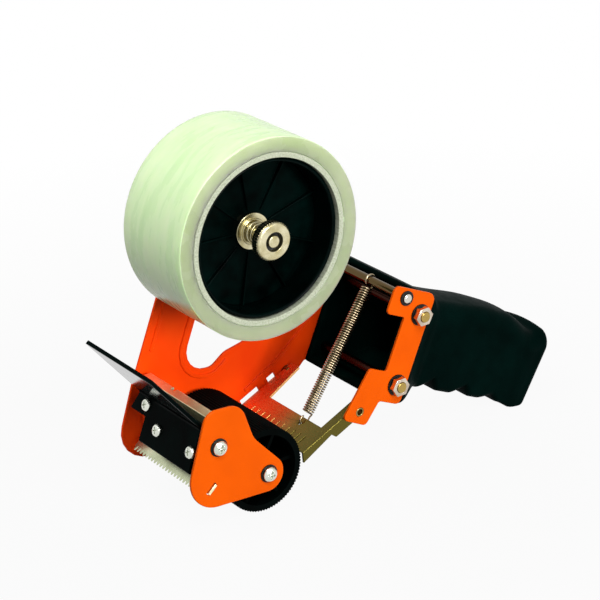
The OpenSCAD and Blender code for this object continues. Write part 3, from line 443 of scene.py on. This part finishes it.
# The gate plate takes painted shade at its near end and a painted orange reflection at its far end.
dress("gate_plate", GATE_ZINC_PAINTED_LIGHT, 0.14, split=True)
dress("blade_carrier", PALE_ZINC, 0.18)
dress("cutter_blade", BLADE_STEEL, 0.08)
dress("blade_guard", GLOSS_BLACK, 0.2)
flap = dress("wiper_flap", FLEXIBLE_BLACK, 0.25, 3)
finish_where(flap, CUT_BLACK, lambda face: abs(face.normal.dot(FLAP_BROADSIDE)) < FACING)
dress("roller", RUBBER_BLACK, 0.12, sharp_deg=40)
dress("hub", HUB_BLACK, 0.3, 3)
dress("hub_web", GLOSS_BLACK, 0.25, split=True)
dress("brake_washer", PALE_BRASS, 0.2)
dress("spring_washer", PALE_BRASS, 0.15)
nut = dress("brake_nut", PALE_BRASS, 0.15, split=True)
# The recess round the stud takes black steel as painted shade.
finish_where(nut, BLACK_STEEL_AND_PAINTED_SHADE, in_recess_painted_shade)
dress("side_screws", BRIGHT_ZINC, 0.12)
dress("guard_screws", BRIGHT_ZINC, 0.1)
dress("side_washers", BLACK_STEEL_AND_PAINTED_SHADE, 0.12)
dress("handle_bolts", BOLT_ZINC_PAINTED_SHADE, 0.25)
dress("handle_nuts", NUT_ZINC, 0.3)
dress("nut_washers", BLACK_STEEL_AND_PAINTED_SHADE, 0.15)
dress("spindle", PALE_BRASS, 0.3)
dress("spindle_nut", BRIGHT_ZINC, 0.3)
dress("gate_pins", YELLOW_ZINC, 0.2)
dress("spring_rod", ROD_ZINC_PAINTED_SHADE, 0.2)
dress("rod_clips", BLACK_STEEL_AND_PAINTED_SHADE, 0.15)
dress("tape_film", FILM, 0.5, 3, ends=FILM_ENDS)
dress("tape_core", CARD, 0.25)
repaint("roller_axle", BRIGHT_ZINC)
repaint("tie_rod", BRIGHT_ZINC)
repaint("thrust_washer", BLACK_STEEL_AND_PAINTED_SHADE)


# Moulded grip: rounded sections lofted along it, hollow from the front

GRIP_RAKE = math.radians(25.5)
GRIP_ROOT = (74.3, 43.2)
GRIP_FRONT = -6.0
GRIP_LEN = 103.0
GRIP_WALL = 3.0
GRIP_HALF = 20.0
MOUTH_HALF = 30.0
STRAP_OUT = 7.3
GRIP_FLOOR = -10.0
GRIP_TOP = 46.2
HEEL_A = GRIP_LEN - 6
HEEL_B = -5.544
END_LEAN = 0.08
LEAN_FROM = 62.0
LEAN_MID = 18.0
FINGER_DIP = 5.2
FINGER_PITCH = 22.2
FINGER_FIRST = 35.5
FINGER_RISE = 9.0
FINGER_FALL = 4.5
FINGER_CURVE = 1.3
LAST_FINGER = 1.9
LAST_SHARE = 0.6
# Underside: the belly behind the strap, and where the heel starts
BELLY_A = 24.0
BELLY_B = -3.4
HEEL_FROM = GRIP_LEN - 21
# Top line: a drop behind the mouth, a swell, a fall and a rim at the far end
NAPE_A = 30.0
NAPE_DROP = 5.0
SWELL = 1.4
SWELL_A = 60.0
SWELL_RUN = 18.0
FALL = 5.6
FALL_FROM = GRIP_LEN - 29
FALL_TO = GRIP_LEN - 8
RIM = 3.0
RIM_FROM = GRIP_LEN - 10
RIM_TO = GRIP_LEN - 4.5
# Sides and corners: full size from NECK_A on
NECK_A = 26.0
FLARE = 1.6
FLARE_FROM = GRIP_LEN - 14
FLARE_TO = GRIP_LEN - 5
LEAST_R = 0.8
MOUTH_R = 1.2
TOP_R = 8.0
LOW_R = 3.6
LOW_R_LOSS = 1.8
LOW_R_TO = GRIP_LEN - 13
CROWN = 2.5
CAVITY_RISE = (12.0, 22.0)
END_R = 6.0
END_STEPS = 9
END_STEP_DEG = 11
OUTER_STATIONS = 110
CAVITY_STATIONS = 30
CAVITY_END = GRIP_LEN - 24
RIM_R = 0.5
CORNER_STEPS = 8


def ease(a, a0, a1):
    """0 up to a0, 1 from a1 on, and smooth between."""
    t = min(1.0, max(0.0, (a - a0) / (a1 - a0)))
    return t * t * (3 - 2 * t)


def shift(a, a0, a1, v0, v1):
    """v0 up to a0, v1 from a1 on, and smooth between."""
    return v0 + (v1 - v0) * ease(a, a0, a1)


def finger(a, k):
    past = a - FINGER_FIRST - k * FINGER_PITCH
    away = -past / FINGER_RISE if past < 0 else past / FINGER_FALL
    return FINGER_DIP * max(0.0, 1 - away) ** FINGER_CURVE


def fingers(a):
    return finger(a, 0) + finger(a, 1) + LAST_SHARE * finger(a, LAST_FINGER)


def grip_low(a):
    belly = shift(a, STRAP_OUT, BELLY_A, GRIP_FLOOR, BELLY_B)
    return belly + shift(a, HEEL_FROM, HEEL_A, 0, HEEL_B - BELLY_B)


def grip_high(a):
    swell = SWELL * math.exp(-(((a - SWELL_A) / SWELL_RUN) ** 2))
    fall = FALL * ease(a, FALL_FROM, FALL_TO)
    rim = RIM * ease(a, RIM_FROM, RIM_TO)
    return shift(a, GRIP_FRONT, NAPE_A, GRIP_TOP, GRIP_TOP - NAPE_DROP) + swell - fall + rim


def grip_half(a):
    return shift(a, STRAP_OUT, NECK_A, MOUTH_HALF, GRIP_HALF) + FLARE * ease(a, FLARE_FROM, FLARE_TO)


def quarter(cy, cb, r, start_deg):
    """Points on a quarter circle about (cy, cb)."""
    turns = [math.radians(start_deg + 90 * i / CORNER_STEPS) for i in range(CORNER_STEPS + 1)]
    return [(cy + r * math.cos(t), cb + r * math.sin(t)) for t in turns]


def section(a, inset, notched):
    """Points (y, b) round the grip at the station a, pulled in by inset."""
    half = grip_half(a) - inset
    low = grip_low(a) + inset + (fingers(a) if notched else shift(a, *CAVITY_RISE, 0, FINGER_DIP))
    high = grip_high(a) - inset
    top_r = max(LEAST_R, shift(a, STRAP_OUT, NECK_A, MOUTH_R, TOP_R) - inset)
    low_r = shift(a, STRAP_OUT, NECK_A, MOUTH_R, LOW_R) - LOW_R_LOSS * ease(a, FALL_FROM, LOW_R_TO)
    low_r = max(LEAST_R, low_r - inset)
    crown = shift(a, 0, NECK_A, 0, CROWN)
    top = quarter(half - top_r, high - top_r, top_r, 0)
    top += [(k * (half - top_r) / 3, high) for k in (2, 1, 0, -1, -2)]
    top += quarter(top_r - half, high - top_r, top_r, 90)
    top = [(y, b - crown * (y / half) ** 2) for y, b in top]
    left = quarter(low_r - half, low + low_r, low_r, 180)
    right = quarter(half - low_r, low + low_r, low_r, 270)
    return top + left + right


def grip_point(a, y, b):
    """A point along, across and above the grip, in the tool's own axes."""
    a += END_LEAN * ease(a, LEAN_FROM, GRIP_LEN) * (b - LEAN_MID)
    x = GRIP_ROOT[0] + a * math.cos(GRIP_RAKE) + b * math.sin(GRIP_RAKE)
    z = GRIP_ROOT[1] - a * math.sin(GRIP_RAKE) + b * math.cos(GRIP_RAKE)
    return x, y, max(z, 0.0)


def closing(a, last):
    """Extra inset that rounds the far end off on a quarter circle."""
    past = max(0.0, a - (last - END_R))
    return END_R - math.sqrt(max(0.0, END_R * END_R - past * past))


def stations(first, last, count):
    """Places along the grip, closer together where its far end rounds off."""
    run = [first + (last - END_R - first) * i / count for i in range(count)]
    turns = [math.radians(END_STEP_DEG * i) for i in range(END_STEPS)]
    return run + [last - END_R + END_R * math.sin(t) for t in turns]


def grip_mesh():
    """The grip from its far end to its mouth, and back along the hollow."""
    rings = []
    for a in reversed(stations(GRIP_FRONT + RIM_R, GRIP_LEN, OUTER_STATIONS)):
        rings.append((a, closing(a, GRIP_LEN), True))
    rings.append((GRIP_FRONT, RIM_R, True))
    rings.append((GRIP_FRONT, GRIP_WALL - RIM_R, False))
    for a in stations(GRIP_FRONT + RIM_R, CAVITY_END, CAVITY_STATIONS):
        rings.append((a, GRIP_WALL + closing(a, CAVITY_END), False))
    points = [grip_point(a, y, b) for a, inset, notched in rings for y, b in section(a, inset, notched)]
    faces = tube_faces(len(rings), len(points) // len(rings))
    return mesh_piece("grip_moulding", points, faces, sharp_deg=50)


settle(grip_mesh(), "handle", SATIN_BLACK)


# Springs: one unbroken wire each, between the two bodies that it joins

GATE_HOOK = Vector((35.17, -10.5, 28.27))
GATE_WIRE = 0.85
GATE_TURNS = 55
COIL_R = 2.55
HOOK_R = 2.4
HOOK_GAP = 2.0
HOOK_DEG = 235
HOOK_STEPS = 24
EYE_GAP = 3.9
LEAD = 2.2
LEAD_BEND = 1.4
LEAD_STEPS = 10
CURL_RINGS = 20
rod_at = middle("spring_rod")
ROD_EYE = Vector((rod_at.x, -3.5, rod_at.z))
EYE_R = 2.95


def curve(a, b, c, d, count):
    """Points along a cubic with the ends a and d, without d."""
    run = [i / count for i in range(count)]
    return [a * (1 - t) ** 3 + b * 3 * t * (1 - t) ** 2 + c * 3 * t * t * (1 - t) + d * t ** 3 for t in run]


def join(piece, node, finish):
    """A spring between two bodies that stands for a CAD node."""
    piece.data.materials.append(finish)
    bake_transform(piece)
    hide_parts(node)


def gate_spring_path():
    """A hook in the gate, a close coil and an eye round the rod."""
    pull = (ROD_EYE - GATE_HOOK).normalized()
    side = Vector((0, 1, 0)).cross(pull).normalized()
    lift = pull.cross(side)
    length = (ROD_EYE - GATE_HOOK).length
    start = HOOK_R + HOOK_GAP
    stop = length - EYE_GAP

    def at(s, u, v=0.0):
        return GATE_HOOK + pull * s + side * u + lift * v

    def hook(r, s, way):
        turns = [math.radians(HOOK_DEG - HOOK_DEG * i / HOOK_STEPS) for i in range(HOOK_STEPS + 1)]
        return [at(s - way * r * math.sin(t), r * math.cos(t)) for t in turns]

    into = curve(at(start - LEAD, HOOK_R), at(start - LEAD + LEAD_BEND, HOOK_R),
                 at(start, COIL_R, -LEAD_BEND), at(start, COIL_R), LEAD_STEPS)
    count = GATE_TURNS * CURL_RINGS
    coil = []
    for i in range(count):
        turn = 2 * math.pi * GATE_TURNS * i / count
        coil.append(at(start + (stop - start) * i / count, COIL_R * math.cos(turn), COIL_R * math.sin(turn)))
    out = curve(at(stop, COIL_R), at(stop, COIL_R, LEAD_BEND),
                at(stop + LEAD - LEAD_BEND, EYE_R), at(stop + LEAD, EYE_R), LEAD_STEPS)
    return hook(HOOK_R, 0, 1) + into + coil + out + list(reversed(hook(EYE_R, length, -1)))


gate_spring = wire("gate_spring_wire", gate_spring_path(), GATE_WIRE)
join(gate_spring, "gate_spring", SPRING_WIRE)

BRAKE_WIRE = 1.1
BRAKE_R = 4.95
BRAKE_TURNS = 3
BRAKE_RINGS = 40
BRAKE_EASE = 0.05
BRAKE_LOW = -11.85
BRAKE_HIGH = -19.55


def brake_spring_path():
    """An open coil whose turns lie a little closer at both ends."""
    count = BRAKE_TURNS * BRAKE_RINGS
    points = []
    for i in range(count + 1):
        t = i / count
        turn = 2 * math.pi * BRAKE_TURNS * t
        y = BRAKE_LOW + (BRAKE_HIGH - BRAKE_LOW) * ease(t, -BRAKE_EASE, 1 + BRAKE_EASE)
        points.append((tape_axis.x + BRAKE_R * math.cos(turn), y, tape_axis.z + BRAKE_R * math.sin(turn)))
    return points


brake_spring = wire("brake_spring_wire", brake_spring_path(), BRAKE_WIRE, sides=12)
join(brake_spring, "brake_spring", PALE_BRASS)


# Floor, world and lamps

FLOOR_SIZE = 8.0
FLOOR_GREY = 0.30
# How much of the floor glows white to the camera near the tool; further off all of it does
FLOOR_GLOW = 0.94
FLOOR_NEAR = 150.0
FLOOR_FAR = 500.0
AMBIENT = 0.13


def seen_ray(tree):
    """1 where a ray comes from the camera, a reflection or a refraction."""
    path = tree.nodes.new("ShaderNodeLightPath")
    seen = calc(tree, "MAXIMUM", path.outputs["Is Camera Ray"], path.outputs["Is Glossy Ray"])
    return calc(tree, "MAXIMUM", seen, path.outputs["Is Transmission Ray"])


def floor_material():
    """White paper: it glows white to the camera and still takes the shadow."""
    material = bpy.data.materials.new("white_paper")
    material.use_nodes = True
    tree = material.node_tree
    shader = tree.nodes["Principled BSDF"]
    shader.inputs["Base Color"].default_value = (FLOOR_GREY, FLOOR_GREY, FLOOR_GREY, 1)
    shader.inputs["Roughness"].default_value = 0.9
    shader.inputs["Specular IOR Level"].default_value = 0.0
    glow = tree.nodes.new("ShaderNodeEmission")
    glow.inputs["Strength"].default_value = 1.0
    mix = tree.nodes.new("ShaderNodeMixShader")
    length = tree.nodes.new("ShaderNodeVectorMath")
    length.operation = "LENGTH"
    tree.links.new(place(tree), length.inputs[0])
    glow_there = between(tree, length.outputs["Value"], FLOOR_GLOW, 1.0, FLOOR_NEAR, FLOOR_FAR)
    tree.links.new(calc(tree, "MULTIPLY", seen_ray(tree), glow_there), mix.inputs["Fac"])
    tree.links.new(shader.outputs["BSDF"], mix.inputs[1])
    tree.links.new(glow.outputs["Emission"], mix.inputs[2])
    tree.links.new(mix.outputs["Shader"], tree.nodes["Material Output"].inputs["Surface"])
    return material


def add_floor():
    half = FLOOR_SIZE / 2
    mesh = bpy.data.meshes.new("floor")
    corners = [(-half, -half, 0), (half, -half, 0), (half, half, 0), (-half, half, 0)]
    mesh.from_pydata(corners, [], [(0, 1, 2, 3)])
    floor = new_piece("floor", mesh)
    floor.data.materials.append(floor_material())


def add_world():
    world = bpy.data.worlds.new("studio")
    world.use_nodes = True
    tree = world.node_tree
    background = tree.nodes["Background"]
    background.inputs["Color"].default_value = (1, 1, 1, 1)
    strength = between(tree, seen_ray(tree), AMBIENT, 1.0, 0, 1)
    tree.links.new(strength, background.inputs["Strength"])
    bpy.context.scene.world = world


def add_lamp(name, place_at, aim_at, size, power):
    data = bpy.data.lights.new(name, "AREA")
    data.shape = "DISK"
    data.size = size
    data.energy = power
    lamp = bpy.data.objects.new(name, data)
    lamp.location = place_at
    lamp.rotation_euler = (Vector(aim_at) - Vector(place_at)).to_track_quat("-Z", "Y").to_euler()
    bpy.context.scene.collection.objects.link(lamp)


TOOL_MIDDLE = (0.06, 0.0, 0.08)
# Name, place and width in metres, and power in watts
LAMPS = [
    ("key", (-0.25, -0.9, 1.1), 0.7, 12.5),
    ("front", (0.30, -1.25, 0.22), 0.5, 14.5),
    ("top", (-0.5, 0.2, 1.25), 0.9, 10),
]
add_floor()
add_world()
for lamp_name, lamp_place, lamp_size, lamp_power in LAMPS:
    add_lamp(lamp_name, lamp_place, TOOL_MIDDLE, lamp_size, lamp_power)


# Camera at the photograph's viewing angle

AZIMUTH = math.radians(-35.093)
ELEVATION = math.radians(21.672)
LEAN = math.radians(3.5)
DISTANCE = 1002.258
SHIFT_RIGHT = -26.999
SHIFT_UP = 34.079
LENS = 132
NEAREST = 0.05
FURTHEST = 50


def add_camera():
    """The camera stands off the tape's axis; SHIFT moves the tape off the picture's middle."""
    a, e = AZIMUTH, ELEVATION
    back = Vector((math.sin(a) * math.cos(e), -math.cos(a) * math.cos(e), math.sin(e)))
    right = Vector((math.cos(a), math.sin(a), 0))
    up = back.cross(right)
    lean = Matrix.Rotation(LEAN, 3, "Y")
    offset = back * DISTANCE - right * SHIFT_RIGHT - up * SHIFT_UP
    turn = Matrix((lean @ right, lean @ up, lean @ back)).transposed()
    data = bpy.data.cameras.new("camera")
    data.lens = LENS
    data.clip_start = NEAREST
    data.clip_end = FURTHEST
    camera = bpy.data.objects.new("camera", data)
    camera.matrix_world = Matrix.Translation((tape_axis + lean @ offset) * MM) @ turn.to_4x4()
    bpy.context.scene.collection.objects.link(camera)
    bpy.context.scene.camera = camera


add_camera()
bpy.context.scene.view_settings.view_transform = "Standard"
